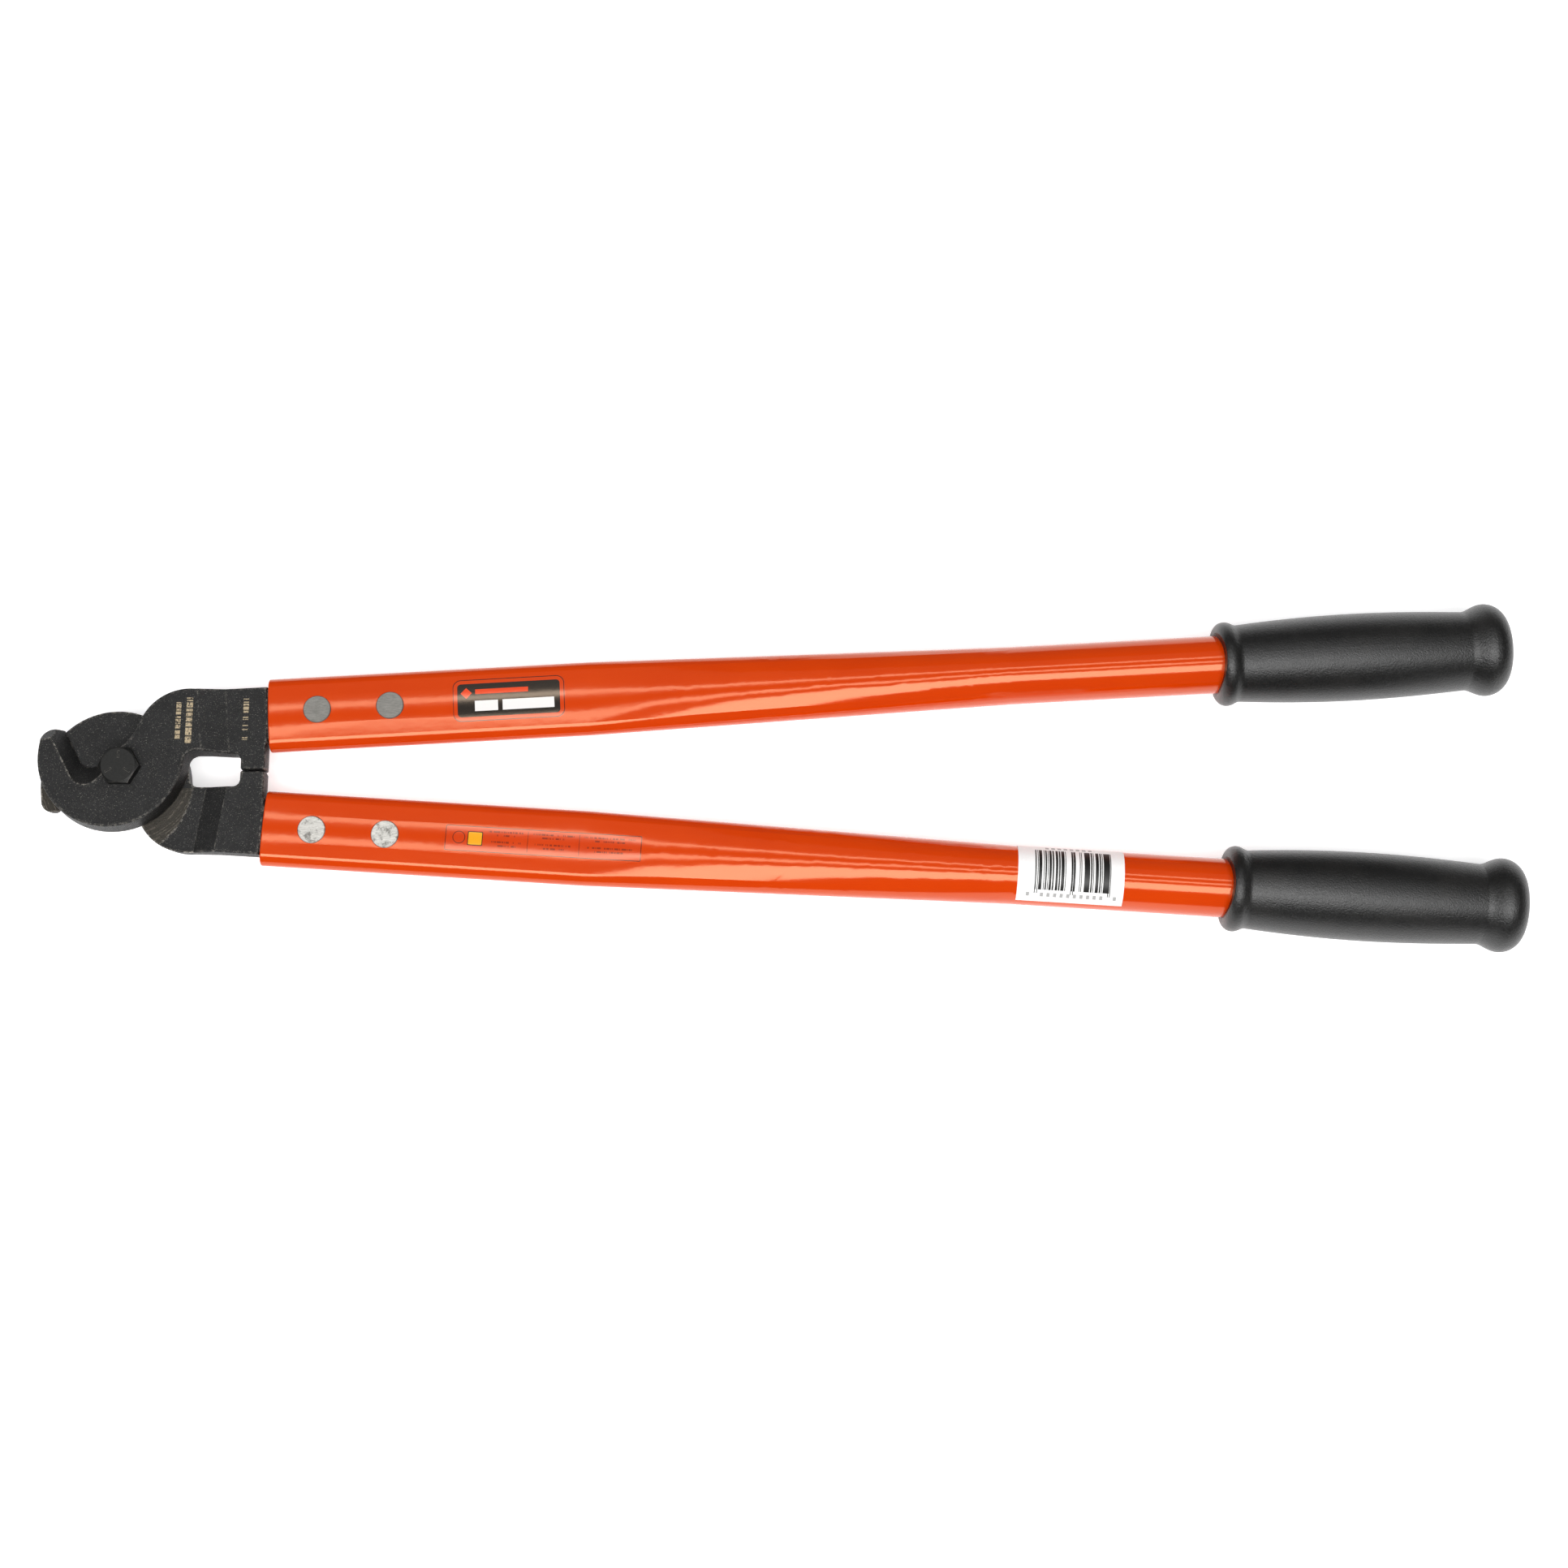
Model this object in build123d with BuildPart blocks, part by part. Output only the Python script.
"""Long-handled cable and bolt cutter: two identical forged bypass jaws on one pivot bolt,
each riveted into a flattened steel tube handle with a rubber sleeve grip.

The tool lies flat and closed.  +X runs from the jaws to the grips, +Y to the upper handle,
+Z up.  The origin is the centre of the footprint, on the surface that the tool lies on.
The lower half of the tool is the upper half turned over about the long centre line.
"""
from build123d import *
from math import cos, radians, sin, tan
import os

os.makedirs("parts", exist_ok=True)

# ---------------------------------------------------------------- driving dimensions (mm, deg)
# Handle line: where it crosses the pivot's station, and how it opens away from the centre line
handle_offset = 23.5
handle_angle = 3.42

# Handle tube: flattened where it takes the jaw, round under the grip
tube_start = 67.85
tube_length = 594.0
flat_width = 36.2
flat_crown_angle = 10.2
flat_length = 154.0
round_length = 100.0
transition_steps = 8
tube_diameter = 28.0
tube_mouth_fillet = 0.6
wall = 2.0

# Jaw forging
head_thickness = 10.5
head_radius = 35.5
head_centre = (-5.3, 5.9)
draft_angle = 4.5
edge_radius = 0.9
arm_thickness = 10.0
arm_half_width = 13.8
raw_step = 0.5
recess_margin = 1.9
window_half_height = 7.6
window_end = 55.2
neck_fillet = 5.0
window_fillet = 3.2
lug_fillet = 1.2
lug_rise = 10.5
hook_height = 20.3
hook_back_lean = 6.6
hook_fillet = 5.5
hook_bevel_start = 12.4
hook_bevel_foot = 1.6
hook_bevel_turn = 14.0
tang_margin = 18.6
tang_half_width = 12.0

# Cutting edge: a straight run from the hook's tip, a rounded root, and the run to the pivot
edge_tip = (-30.7, 19.8)
edge_root = (-19.6, -0.75)
edge_root_radius = 6.3
edge_to_pivot = (-5.3, 7.9)
edge_land = 0.5
bevel_exit = 2.7
bevel_tip = (-33.4, 13.1)
bevel_root = (-19.1, -13.0)
bevel_root_radius = 7.35
bevel_to_pivot = (-8.9, -3.4)
bevel_overrun = (0.3, 1.1)
bevel_bow = 0.3
edge_bow = (-0.7, -0.3)

# Back of the arm: the S-shaped run from the pivot up to the shoulder
back_waist = (2.0, 13.8)
back_turn = (6.7, 22.1)
shoulder_station = 33.0
shoulder_rise = 15.9

# Ramps between the head's thickness and the arm's
ramp_start = 38.4
ramp_end = 50.5
ramp_lean = 6.6
slope_start = 39.4
slope_end = 50.2
slope_lean = 8.2

# Pivot bolt, washer and nut
bolt_diameter = 10.0
bolt_length = 33.0
bolt_hex = 17.0
bolt_head_height = 5.0
nut_height = 8.0
lock_washer_thickness = 2.2
lock_washer_width = 3.4
lock_washer_gap = 2.0
bolt_tip_chamfer = 1.0
crown_circle = 16.0
crown_slope = 30.0
grade_ticks = 3
grade_tick_place = 5.1
grade_tick_length = 3.4
grade_tick_width = 0.9
grade_tick_height = 0.15
lock_washer_twist = 26.6

# Handle rivets
rivet_shank = 8.0
rivet_head = 13.1
rivet_head_height = 0.9
rivet_head_chamfer = 0.3
rivet_seat_depth = 0.35
rivet_inset = 23.65
rivet_spacing = 34.9
rivet_outward = 0.4
rivet_count = 2

# Grips: stations are counted from the grip's mouth
grip_cover = 137.0
end_wall = 4.2
bead_radius = 5.0
bead_crest = 20.35
mouth_scoop = 2.4
groove_station = 10.9
groove_radius = 18.6
barrel_station = 67.1
barrel_radius = 21.1
neck_station = 120.6
neck_radius = 19.05
flange_radius = 22.35
end_radius = 10.0

# How far each curve of the grip runs on before it turns, as shares of its length
bead_pull = (0.45, 0.35)
groove_pull = (0.02, 0.55)
barrel_pull = (0.5, 0.02)
neck_pull = (0.3, 0.4)

# Printed films
film_thickness = 0.15
badge_gap = 30.3
badge_length = 54.0
badge_width = 21.0
badge_corner = 4.0
badge_outward = 0.7
notice_outward = 0.0
notice_gap = 28.6
notice_length = 93.5
notice_width = 12.4
notice_corner = 0.6
price_gap = 48.7
price_length = 50.0
price_outward = 65.0
price_inward = 110.0

# Named clearances
pivot_clearance = 0.05
face_clearance = 0.05
lug_clearance = 0.1
nut_clearance = 0.05
rivet_clearance = 0.05
seat_clearance = 0.2
tang_clearance = 0.12
tube_end_gap = 0.45
grip_clearance = 0.02
film_clearance = 0.01

# ---------------------------------------------------------------- places worked out from them
reach = 100.0
upright = 0.5
halfway = 0.5
eighth_turn = 45.0
underside = -90.0
same_place = 1e-3
arm_half = arm_thickness / 2
flat_thickness = arm_thickness + 2 * wall
bolt_radius = bolt_diameter / 2
round_radius = tube_diameter / 2
tube_end = tube_start + tube_length
lug_end = tube_start - tube_end_gap
rivet_first = tube_start + rivet_inset
rivet_last = rivet_first + (rivet_count - 1) * rivet_spacing
grip_start = tube_end - grip_cover
grip_length = grip_cover + grip_clearance + end_wall
flat_end = tube_start + flat_length
round_start = grip_start - round_length
mid_z = max(flange_radius, bolt_length - head_thickness)

# The footprint runs from the heads' left side to the rounded ends of the grips
end_centre = grip_start + grip_length - end_radius
right_x = end_centre * cos(radians(handle_angle)) + end_radius
right_x += (flange_radius - end_radius) * sin(radians(handle_angle))
left_x = head_centre[0] - head_radius
pivot_x = -(left_x + right_x) / 2
pivot_line = Axis((pivot_x, 0, mid_z), (1, 0, 0))


def level(height):
    """Horizontal plane through the pivot's axis, at a height from the face the jaws share."""
    return Plane(origin=(pivot_x, 0, mid_z + height))


def station(distance):
    """Plane across the upper handle; its X runs across the handle and its Y runs up."""
    along = Vector(cos(radians(handle_angle)), sin(radians(handle_angle)), 0)
    across = Vector(-along.Y, along.X, 0)
    start = Vector(pivot_x, handle_offset, mid_z)
    return Plane(origin=start + along * distance, x_dir=across, z_dir=along)


handle_line = Axis(station(0).origin, station(0).z_dir)


def handle_level(distance, height):
    """Horizontal plane whose X runs along the upper handle, at a station and a height."""
    start = station(distance).origin + Vector(0, 0, height)
    return Plane(origin=start, x_dir=station(distance).z_dir, z_dir=(0, 0, 1))


def profile_plane(lean):
    """Upright plane through the pivot, square to a ramp that leans off the Y direction."""
    along = (cos(radians(lean)), sin(radians(lean)), 0)
    return Plane(origin=(pivot_x, 0, mid_z), x_dir=along, z_dir=(along[1], -along[0], 0))


def rivet_level(step, height):
    """Horizontal plane on a rivet's axis, counted from the jaw, at a height."""
    place = handle_level(rivet_first + step * rivet_spacing, height)
    return place.offset(0).shift_origin(place.from_local_coords((0, rivet_outward, 0)))


def corner_arc(before, corner, after, radius):
    """Where an arc that rounds a corner starts, its middle, and where it ends."""
    inward = (Vector(*before) - Vector(*corner)).normalized()
    outward = (Vector(*after) - Vector(*corner)).normalized()
    half = radians(inward.get_angle(outward)) / 2
    centre = Vector(*corner) + (inward + outward).normalized() * (radius / sin(half))
    start = Vector(*corner) + inward * (radius / tan(half))
    end = Vector(*corner) + outward * (radius / tan(half))
    middle = centre + (Vector(*corner) - centre).normalized() * radius
    return start, middle, end


def oval(half_width, half_thickness, crown_angle):
    """Four tangent arcs: two across the flats, of twice the crown angle, and two at the sides."""
    lean = radians(crown_angle)
    difference = (half_width - half_thickness) / (sin(lean) + cos(lean) - 1)
    side_radius = half_width - difference * sin(lean)
    x = half_width - side_radius + side_radius * sin(lean)
    y = side_radius * cos(lean)
    with BuildLine() as loop:
        ThreePointArc((x, y), (0, half_thickness), (-x, y))
        ThreePointArc((-x, y), (-half_width, 0), (-x, -y))
        ThreePointArc((-x, -y), (0, -half_thickness), (x, -y))
        ThreePointArc((x, -y), (half_width, 0), (x, y))
    make_face(loop.line)


def tube_solid(grow, start, end):
    """The handle tube's outer shape, grown by an amount, between two stations."""
    half_width = flat_width / 2 + grow
    half_thickness = flat_thickness / 2 + grow
    with BuildPart() as solid:
        if start < flat_end:
            with BuildSketch(station(start)):
                oval(half_width, half_thickness, flat_crown_angle)
            extrude(amount=flat_end - start)
        for step in range(transition_steps + 1):
            share = step / transition_steps
            width = half_width + (round_radius + grow - half_width) * share
            thickness = half_thickness + (round_radius + grow - half_thickness) * share
            crown_angle = flat_crown_angle + (eighth_turn - flat_crown_angle) * share
            with BuildSketch(station(flat_end + (round_start - flat_end) * share)):
                oval(width, thickness, crown_angle)
        loft()
        if end > round_start:
            with BuildSketch(station(round_start)):
                Circle(round_radius + grow)
            extrude(amount=end - round_start)
    return solid.part


# ---------------------------------------------------------------- jaws
# The outline is drawn where the two jaws meet; drafted walls lean in from there.
shoulder = station(lug_end).origin + station(lug_end).x_dir * arm_half_width
heel = station(lug_end).origin - station(lug_end).x_dir * arm_half_width
arm_top = (shoulder.X - pivot_x, shoulder.Y)
arm_bottom = (heel.X - pivot_x, heel.Y)
lug_start_corner = (window_end, lug_clearance)
lug_end_corner = (lug_end, lug_clearance)
lug_depth = handle_offset - lug_rise
shoulder_start = (shoulder_station, handle_offset + shoulder_rise)
edge_arc = corner_arc(edge_tip, edge_root, edge_to_pivot, edge_root_radius)
bevel_arc = corner_arc(bevel_tip, bevel_root, bevel_to_pivot, bevel_root_radius)
hook_lean = radians(hook_back_lean)
hook_foot = (
    head_centre[0] - head_radius * cos(hook_lean),
    head_centre[1] + head_radius * sin(hook_lean),
)
hook_left = hook_foot[0] + (hook_height - hook_foot[1]) * tan(hook_lean)
circle_bottom = (head_centre[0], head_centre[1] - head_radius)
neck_rise = window_half_height - head_centre[1]
neck_corner = (head_centre[0] + (head_radius**2 - neck_rise**2) ** 0.5, window_half_height)

with BuildSketch(level(0)) as jaw_outline:
    with BuildLine():
        Line((hook_left, hook_height), edge_tip)
        Line(edge_tip, edge_arc[0])
        ThreePointArc(edge_arc[0], edge_arc[1], edge_arc[2])
        Line(edge_arc[2], edge_to_pivot)
        waist = ThreePointArc(edge_to_pivot, back_waist, back_turn)
        TangentArc(back_turn, shoulder_start, tangent=waist % 1)
        Line(shoulder_start, arm_top)
        Line(arm_top, arm_bottom)
        Line(arm_bottom, (lug_end, lug_depth))
        Line((lug_end, lug_depth), lug_end_corner)
        Line(lug_end_corner, lug_start_corner)
        Line(lug_start_corner, (window_end, window_half_height))
        Line((window_end, window_half_height), neck_corner)
        ThreePointArc(neck_corner, circle_bottom, hook_foot)
        Line(hook_foot, (hook_left, hook_height))
    make_face()
    rounded = {
        (hook_left, hook_height): hook_fillet,
        neck_corner: neck_fillet,
        (window_end, window_half_height): window_fillet,
        lug_start_corner: lug_fillet,
        lug_end_corner: lug_fillet,
    }
    for corner, radius in rounded.items():
        fillet(jaw_outline.vertices().sort_by_distance(corner)[0], radius)

# The bevel is ground from the outer face down to a narrow land along the cutting edge.
tip_run = (Vector(*edge_tip) - edge_arc[0]).normalized() * hook_height
edge_beyond = Vector(*edge_tip) + tip_run
bevel_beyond = Vector(*bevel_tip) + tip_run
edge_exit = Vector(*edge_to_pivot) + (-bevel_exit, bevel_exit)
bevel_end = Vector(*edge_to_pivot) + bevel_overrun
edge_side = (edge_arc[2] + edge_exit) / 2 + edge_bow
bevel_side = (bevel_to_pivot[0] - bevel_bow, (bevel_to_pivot[1] + bevel_end.Y) / 2)

with BuildPart() as bevel_cut:
    with BuildSketch(level(edge_land)):
        with BuildLine():
            Line(edge_beyond, edge_arc[0])
            ThreePointArc(edge_arc[0], edge_arc[1], edge_arc[2])
            Line(edge_arc[2], edge_side)
            Line(edge_side, edge_exit)
            Line(edge_exit, (edge_exit.X, reach))
            Line((edge_exit.X, reach), edge_beyond)
        make_face()
    with BuildSketch(level(head_thickness)):
        with BuildLine():
            Line(bevel_beyond, bevel_arc[0])
            ThreePointArc(bevel_arc[0], bevel_arc[1], bevel_arc[2])
            Line(bevel_arc[2], bevel_to_pivot)
            ThreePointArc(bevel_to_pivot, bevel_side, bevel_end)
            Line(bevel_end, (bevel_end.X, reach))
            Line((bevel_end.X, reach), bevel_beyond)
        make_face()
    loft(ruled=True)


def drafted_plate(height):
    """The outline raised to a height on one side of the parting line, its walls leaning in."""
    parting = Plane(origin=level(0).origin, z_dir=(0, 0, height))
    with BuildPart() as plate:
        add(jaw_outline.sketch)
        extrude(amount=height)
        walls = plate.faces().filter_by(lambda face: abs(face.normal_at().Z) < upright)
        draft(walls, parting, draft_angle)
    return plate.part


def rim(faces):
    """Edges round a group of neighbouring faces, without the ones that they share."""
    edges = faces.edges()
    middles = [edge.position_at(halfway) for edge in edges]
    return [
        edge
        for edge, middle in zip(edges, middles)
        if sum((middle - other).length < same_place for other in middles) == 1
    ]


hook_side = left_x - edge_radius
recess_radius = head_radius + recess_margin
with BuildPart() as front_jaw:
    add(drafted_plate(head_thickness))
    add(drafted_plate(-arm_half))

    # Outer ramp, from the head's face down to the arm's
    with BuildSketch(profile_plane(ramp_lean)):
        with BuildLine():
            Polyline(
                (ramp_start, head_thickness),
                (ramp_end, arm_half),
                (reach, arm_half),
                (reach, head_thickness),
                close=True,
            )
        make_face()
    extrude(amount=reach, both=True, mode=Mode.SUBTRACT)

    # Raw face and slope on the side where the jaws meet
    with BuildSketch(profile_plane(slope_lean)):
        with BuildLine():
            Polyline(
                (-reach, -raw_step),
                (slope_start, -raw_step),
                (slope_end, -arm_half),
                (-reach, -arm_half),
                close=True,
            )
        make_face()
    extrude(amount=reach, both=True, mode=Mode.SUBTRACT)

    # Forged edges are rounded before anything is ground
    outer_faces = front_jaw.faces().filter_by(lambda face: face.normal_at().Z > upright)
    fillet(rim(outer_faces), edge_radius)
    inner_faces = front_jaw.faces().filter_by(lambda face: face.normal_at().Z < -upright)
    below_raw = mid_z - raw_step - edge_land / 2
    fillet([edge for edge in rim(inner_faces) if (edge @ halfway).Z < below_raw], edge_radius)

    # Machined face that the other jaw's head slides over
    with BuildSketch(level(face_clearance)):
        with Locations(head_centre):
            Circle(recess_radius)
    extrude(amount=-arm_half, mode=Mode.SUBTRACT)

    # Ground bevel, and the hook's tip bevelled back from the outer face
    add(bevel_cut.part, mode=Mode.SUBTRACT)
    tip_plane = Plane(
        origin=level(0).from_local_coords(Vector(hook_side, hook_bevel_start, 0)),
        x_dir=(-sin(radians(hook_bevel_turn)), cos(radians(hook_bevel_turn)), 0),
        z_dir=(cos(radians(hook_bevel_turn)), sin(radians(hook_bevel_turn)), 0),
    )
    with BuildSketch(tip_plane):
        with BuildLine():
            Polyline(
                (0, head_thickness),
                (hook_height - hook_bevel_start, hook_bevel_foot),
                (hook_height, hook_bevel_foot),
                (hook_height, head_thickness),
                close=True,
            )
        make_face()
    extrude(amount=hook_height, mode=Mode.SUBTRACT)

    # Tang inside the handle tube, with the rivet holes, and the pivot's bore
    tang_start = lug_end - arm_half
    with BuildSketch(station(tang_start)):
        inner = wall + tang_clearance
        oval(flat_width / 2 - inner, flat_thickness / 2 - inner, flat_crown_angle)
        Rectangle(2 * tang_half_width, arm_thickness, mode=Mode.INTERSECT)
    extrude(amount=rivet_last + tang_margin - tang_start)
    for step in range(rivet_count):
        with BuildSketch(rivet_level(step, -reach)):
            Circle(rivet_shank / 2 + rivet_clearance)
        extrude(amount=2 * reach, mode=Mode.SUBTRACT)
    with BuildSketch(level(-reach)):
        Circle(bolt_radius + pivot_clearance)
    extrude(amount=2 * reach, mode=Mode.SUBTRACT)
front_jaw.part.label = "front_jaw"
export_step(front_jaw.part, "parts/front_jaw.step")

with BuildPart() as rear_jaw:
    add(front_jaw.part.rotate(pivot_line, 180))
rear_jaw.part.label = "rear_jaw"
export_step(rear_jaw.part, "parts/rear_jaw.step")


# ---------------------------------------------------------------- pivot bolt, washer and nut
# The hexagon points along the handles.  Its crown is chamfered to a circle across the flats.
corner_radius = bolt_hex / 2 / cos(radians(30))
head_top = head_thickness + bolt_head_height
washer_top = -head_thickness
nut_top = washer_top - lock_washer_thickness
nut_bottom = nut_top - nut_height
bolt_bottom = head_thickness - bolt_length


def crown_cut(height, direction):
    """Ring that takes a hexagon's corners off at a height, leaning away from a direction."""
    slope = radians(crown_slope)
    low = crown_circle / 2
    with BuildPart() as ring:
        with BuildSketch(Plane(origin=level(0).origin, x_dir=(1, 0, 0), z_dir=(0, -1, 0))):
            with BuildLine():
                Polyline(
                    (low, height),
                    (low + reach * cos(slope), height - direction * reach * sin(slope)),
                    (low + reach * cos(slope), height + direction * reach),
                    (low, height + direction * reach),
                    close=True,
                )
            make_face()
        revolve(axis=Axis(level(0).origin, (0, 0, 1)))
    return ring.part


with BuildPart() as pivot_bolt:
    with BuildSketch(level(head_thickness)):
        RegularPolygon(corner_radius, 6)
    extrude(amount=bolt_head_height)
    add(crown_cut(head_top, 1), mode=Mode.SUBTRACT)
    with BuildSketch(level(bolt_bottom)):
        Circle(bolt_radius)
    extrude(amount=bolt_length)
    tip = pivot_bolt.edges().filter_by(GeomType.CIRCLE).sort_by(Axis.Z)[0]
    chamfer(tip, bolt_tip_chamfer)
    with BuildSketch(level(head_top)):
        with PolarLocations(grade_tick_place, grade_ticks, start_angle=90):
            Rectangle(grade_tick_length, grade_tick_width)
    extrude(amount=grade_tick_height)
pivot_bolt.part.label = "pivot_bolt"
export_step(pivot_bolt.part, "parts/pivot_bolt.step")

with BuildPart() as lock_washer:
    with BuildSketch(level(nut_top)):
        Circle(bolt_radius + nut_clearance + lock_washer_width)
        Circle(bolt_radius + nut_clearance, mode=Mode.SUBTRACT)
    extrude(amount=lock_washer_thickness)
    twist = radians(lock_washer_twist)
    split_plane = Plane(origin=level(nut_top).origin, z_dir=(0, cos(twist), sin(twist)))
    with BuildSketch(split_plane):
        with Locations((-bolt_radius - lock_washer_width, 0)):
            Rectangle(2 * bolt_radius, 4 * lock_washer_thickness)
    extrude(amount=lock_washer_gap / 2, both=True, mode=Mode.SUBTRACT)
lock_washer.part.label = "lock_washer"
export_step(lock_washer.part, "parts/lock_washer.step")

with BuildPart() as pivot_nut:
    with BuildSketch(level(nut_bottom)):
        RegularPolygon(corner_radius, 6)
        Circle(bolt_radius + nut_clearance, mode=Mode.SUBTRACT)
    extrude(amount=nut_height)
    add(crown_cut(nut_top, 1), mode=Mode.SUBTRACT)
    add(crown_cut(nut_bottom, -1), mode=Mode.SUBTRACT)
pivot_nut.part.label = "pivot_nut"
export_step(pivot_nut.part, "parts/pivot_nut.step")


# ---------------------------------------------------------------- handle tubes
rivet_seat = flat_thickness / 2 - rivet_seat_depth
with BuildPart() as upper_handle_tube:
    add(tube_solid(0, tube_start, tube_end))
    mouth = upper_handle_tube.faces().sort_by(handle_line)[0]
    fillet(mouth.edges(), tube_mouth_fillet)
    add(tube_solid(-wall, tube_start - wall, tube_end + wall), mode=Mode.SUBTRACT)
    for step in range(rivet_count):
        with BuildSketch(rivet_level(step, -reach)):
            Circle(rivet_shank / 2 + rivet_clearance)
        extrude(amount=2 * reach, mode=Mode.SUBTRACT)
        for side in (1, -1):
            with BuildSketch(rivet_level(step, side * rivet_seat)):
                Circle(rivet_head / 2 + seat_clearance)
            extrude(amount=side * flat_thickness, mode=Mode.SUBTRACT)
upper_handle_tube.part.label = "upper_handle_tube"
export_step(upper_handle_tube.part, "parts/upper_handle_tube.step")

with BuildPart() as lower_handle_tube:
    add(upper_handle_tube.part.rotate(pivot_line, 180))
lower_handle_tube.part.label = "lower_handle_tube"
export_step(lower_handle_tube.part, "parts/lower_handle_tube.step")


# ---------------------------------------------------------------- rivets
def rivet(step):
    """Solid rivet through the tube and the tang, upset to a flat head on both sides."""
    with BuildPart() as fastener:
        with BuildSketch(rivet_level(step, -rivet_seat)):
            Circle(rivet_shank / 2)
        extrude(amount=2 * rivet_seat)
        with BuildSketch(rivet_level(step, rivet_seat)):
            Circle(rivet_head / 2)
        extrude(amount=rivet_head_height)
        with BuildSketch(rivet_level(step, -rivet_seat)):
            Circle(rivet_head / 2)
        extrude(amount=-rivet_head_height)
        faces = fastener.faces().filter_by(Axis.Z).sort_by(Axis.Z)
        chamfer(faces[0].edges() + faces[-1].edges(), rivet_head_chamfer)
    return fastener.part


with BuildPart() as upper_jaw_rivet:
    add(rivet(0))
upper_jaw_rivet.part.label = "upper_jaw_rivet"
export_step(upper_jaw_rivet.part, "parts/upper_jaw_rivet.step")

with BuildPart() as upper_tang_rivet:
    add(rivet(rivet_count - 1))
upper_tang_rivet.part.label = "upper_tang_rivet"
export_step(upper_tang_rivet.part, "parts/upper_tang_rivet.step")

with BuildPart() as lower_jaw_rivet:
    add(upper_jaw_rivet.part.rotate(pivot_line, 180))
lower_jaw_rivet.part.label = "lower_jaw_rivet"
export_step(lower_jaw_rivet.part, "parts/lower_jaw_rivet.step")

with BuildPart() as lower_tang_rivet:
    add(upper_tang_rivet.part.rotate(pivot_line, 180))
lower_tang_rivet.part.label = "lower_tang_rivet"
export_step(lower_tang_rivet.part, "parts/lower_tang_rivet.step")


# ---------------------------------------------------------------- grips
def swell(start, end, pull):
    """Curve between two crests or hollows of the grip, level at both ends."""
    run = end[0] - start[0]
    leaving = (start[0] + pull[0] * run, start[1])
    arriving = (end[0] - pull[1] * run, end[1])
    Bezier(start, leaving, arriving, end)


bore_radius = round_radius + grip_clearance
bore_end = grip_cover + grip_clearance
bead_rise = bead_crest - bead_radius
bead_bottom = bead_radius - (bead_radius**2 - (bore_radius - bead_rise) ** 2) ** 0.5
bead_side = bead_radius * sin(radians(eighth_turn))
bead_left = (bead_radius - bead_side, bead_rise + bead_side)
flange_station = grip_length - end_radius
end_rise = flange_radius - end_radius
end_side = end_radius * sin(radians(eighth_turn))
end_middle = (flange_station + end_side, end_rise + end_side)
scoop_radius = (round_radius**2 + mouth_scoop**2) / (2 * mouth_scoop)
handle_plane = Plane(
    origin=station(grip_start).origin,
    x_dir=station(0).z_dir,
    z_dir=-station(0).x_dir,
)

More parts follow.
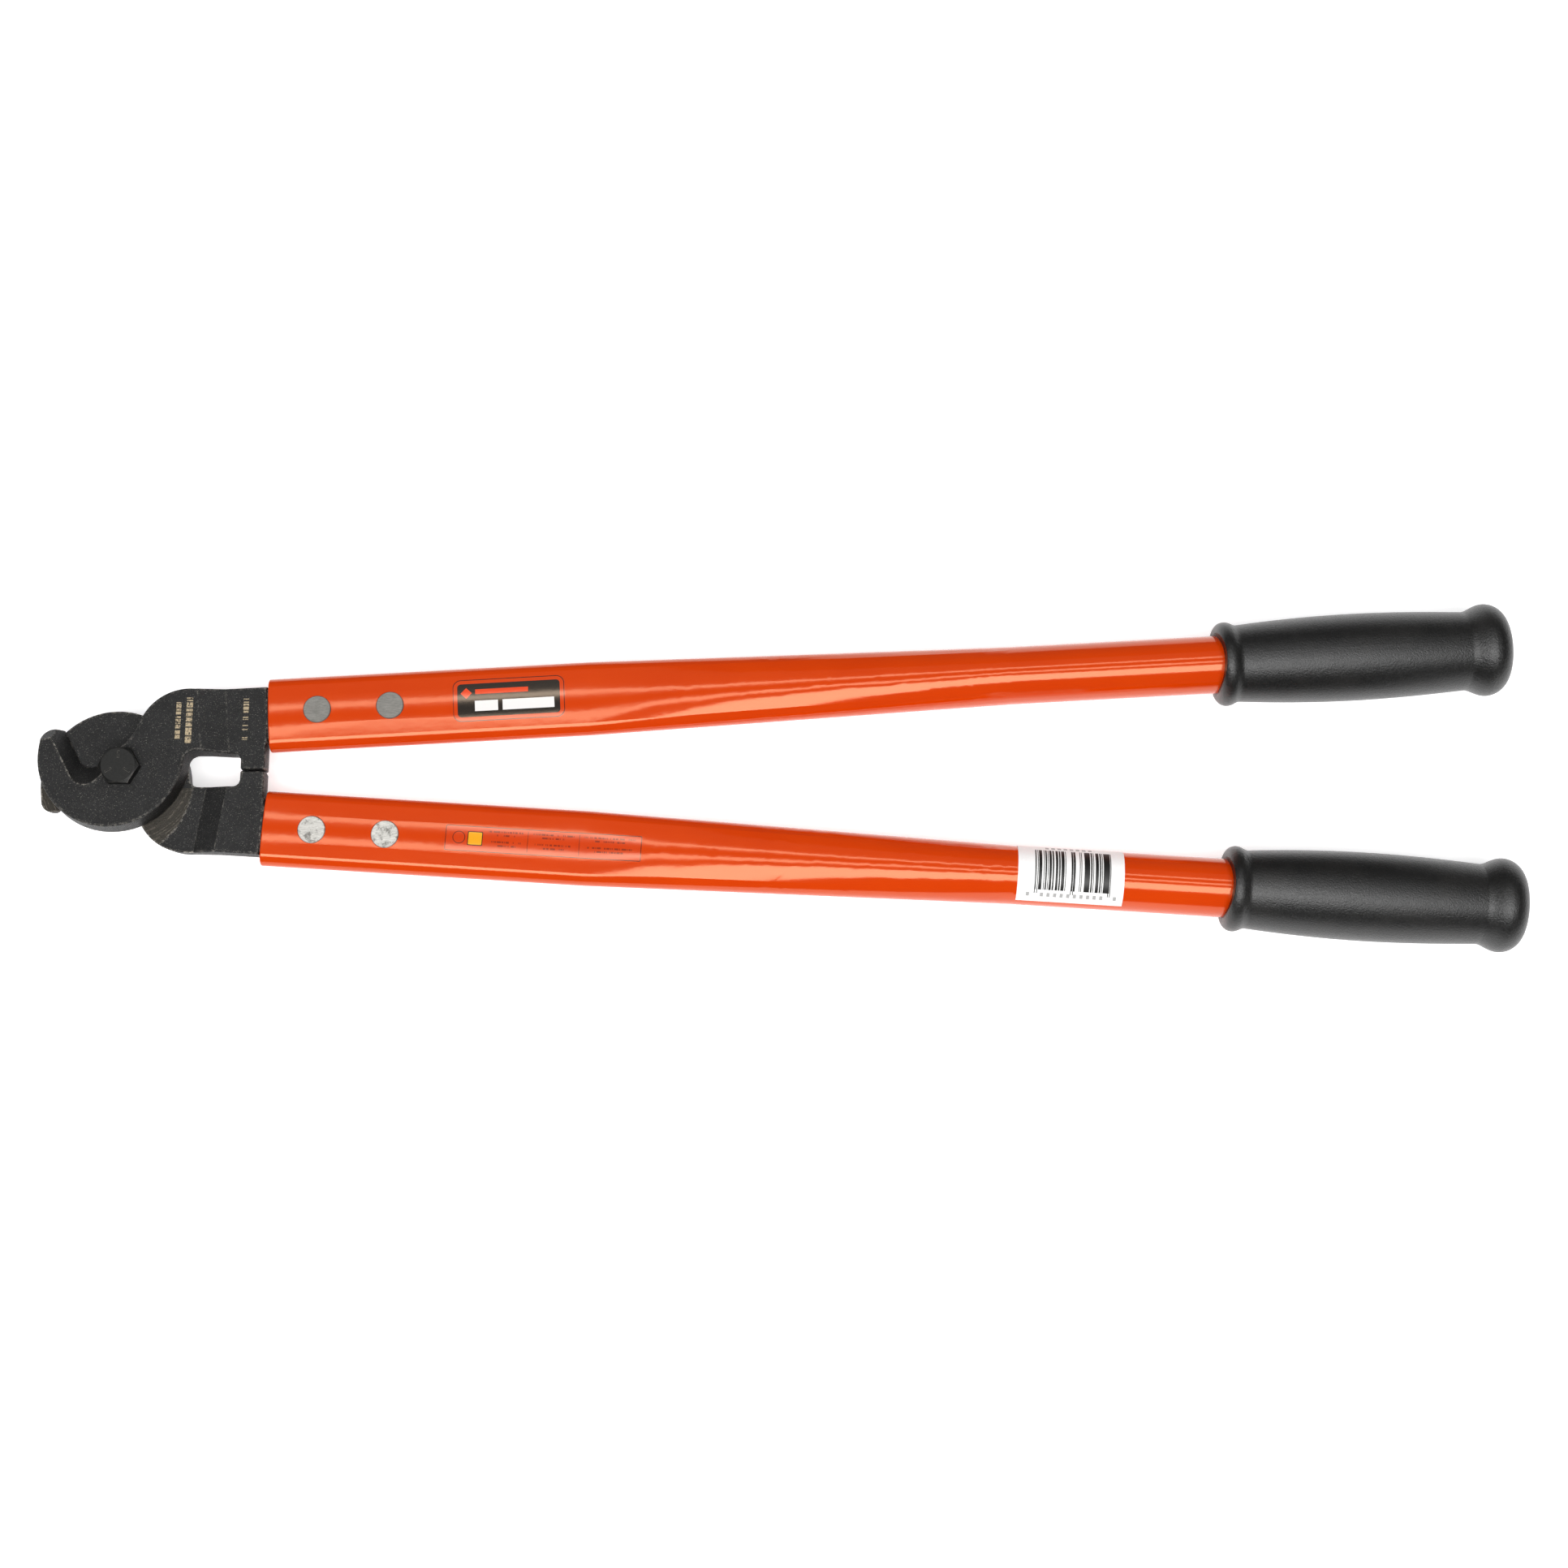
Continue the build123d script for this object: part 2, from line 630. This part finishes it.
with BuildPart() as upper_grip:
    with BuildSketch(handle_plane):
        with BuildLine():
            Line((bead_bottom, bore_radius), (bore_end, bore_radius))
            Line((bore_end, bore_radius), (bore_end, 0))
            Line((bore_end, 0), (grip_length, 0))
            Line((grip_length, 0), (grip_length, end_rise))
            ThreePointArc((grip_length, end_rise), end_middle, (flange_station, flange_radius))
            swell((neck_station, neck_radius), (flange_station, flange_radius), neck_pull)
            swell((barrel_station, barrel_radius), (neck_station, neck_radius), barrel_pull)
            swell((groove_station, groove_radius), (barrel_station, barrel_radius), groove_pull)
            swell((bead_radius, bead_crest), (groove_station, groove_radius), bead_pull)
            ThreePointArc((bead_radius, bead_crest), bead_left, (bead_bottom, bore_radius))
        make_face()
    revolve(axis=handle_line)

    # The mouth is scooped back over the top and the underside of the tube
    with BuildSketch(handle_level(grip_start + mouth_scoop - scoop_radius, -reach)):
        Circle(scoop_radius)
    extrude(amount=2 * reach, mode=Mode.SUBTRACT)
upper_grip.part.label = "upper_grip"
export_step(upper_grip.part, "parts/upper_grip.step")

with BuildPart() as lower_grip:
    add(upper_grip.part.rotate(pivot_line, 180))
lower_grip.part.label = "lower_grip"
export_step(lower_grip.part, "parts/lower_grip.step")


# ---------------------------------------------------------------- printed films
def film_patch(start, size, corner, outward, side):
    """Rounded rectangle of film on one flat of the upper handle tube."""
    with BuildPart() as patch:
        add(tube_solid(film_clearance + film_thickness, start - wall, round_start))
        add(tube_solid(film_clearance, start - 2 * wall, round_start), mode=Mode.SUBTRACT)
        with BuildSketch(handle_level(start + size[0] / 2, 0)):
            with Locations((0, outward)):
                RectangleRounded(*size, corner)
        extrude(amount=side * flat_thickness, mode=Mode.INTERSECT)
    return patch.part


badge_start = rivet_last + badge_gap
with BuildPart() as badge_film:
    add(film_patch(badge_start, (badge_length, badge_width), badge_corner, badge_outward, 1))
badge_film.part.label = "badge_film"
export_step(badge_film.part, "parts/badge_film.step")

notice_start = rivet_last + notice_gap
notice_size = (notice_length, notice_width)
notice_patch = film_patch(notice_start, notice_size, notice_corner, notice_outward, -1)
with BuildPart() as notice_film:
    add(notice_patch.rotate(pivot_line, 180))
notice_film.part.label = "notice_film"
export_step(notice_film.part, "parts/notice_film.step")

# Paper label wrapped part of the way round the lower tube, just before the grip
label_radius = round_radius + film_clearance
with BuildPart() as price_patch:
    with BuildSketch(station(grip_start - price_gap - price_length)):
        with BuildLine():
            first = underside - price_inward
            span = price_inward + price_outward
            inside = CenterArc((0, 0), label_radius, first, span)
            outside = CenterArc((0, 0), label_radius + film_thickness, first, span)
            Line(inside @ 0, outside @ 0)
            Line(inside @ 1, outside @ 1)
        make_face()
    extrude(amount=price_length)
with BuildPart() as price_label:
    add(price_patch.part.rotate(pivot_line, 180))
price_label.part.label = "price_label"
export_step(price_label.part, "parts/price_label.step")
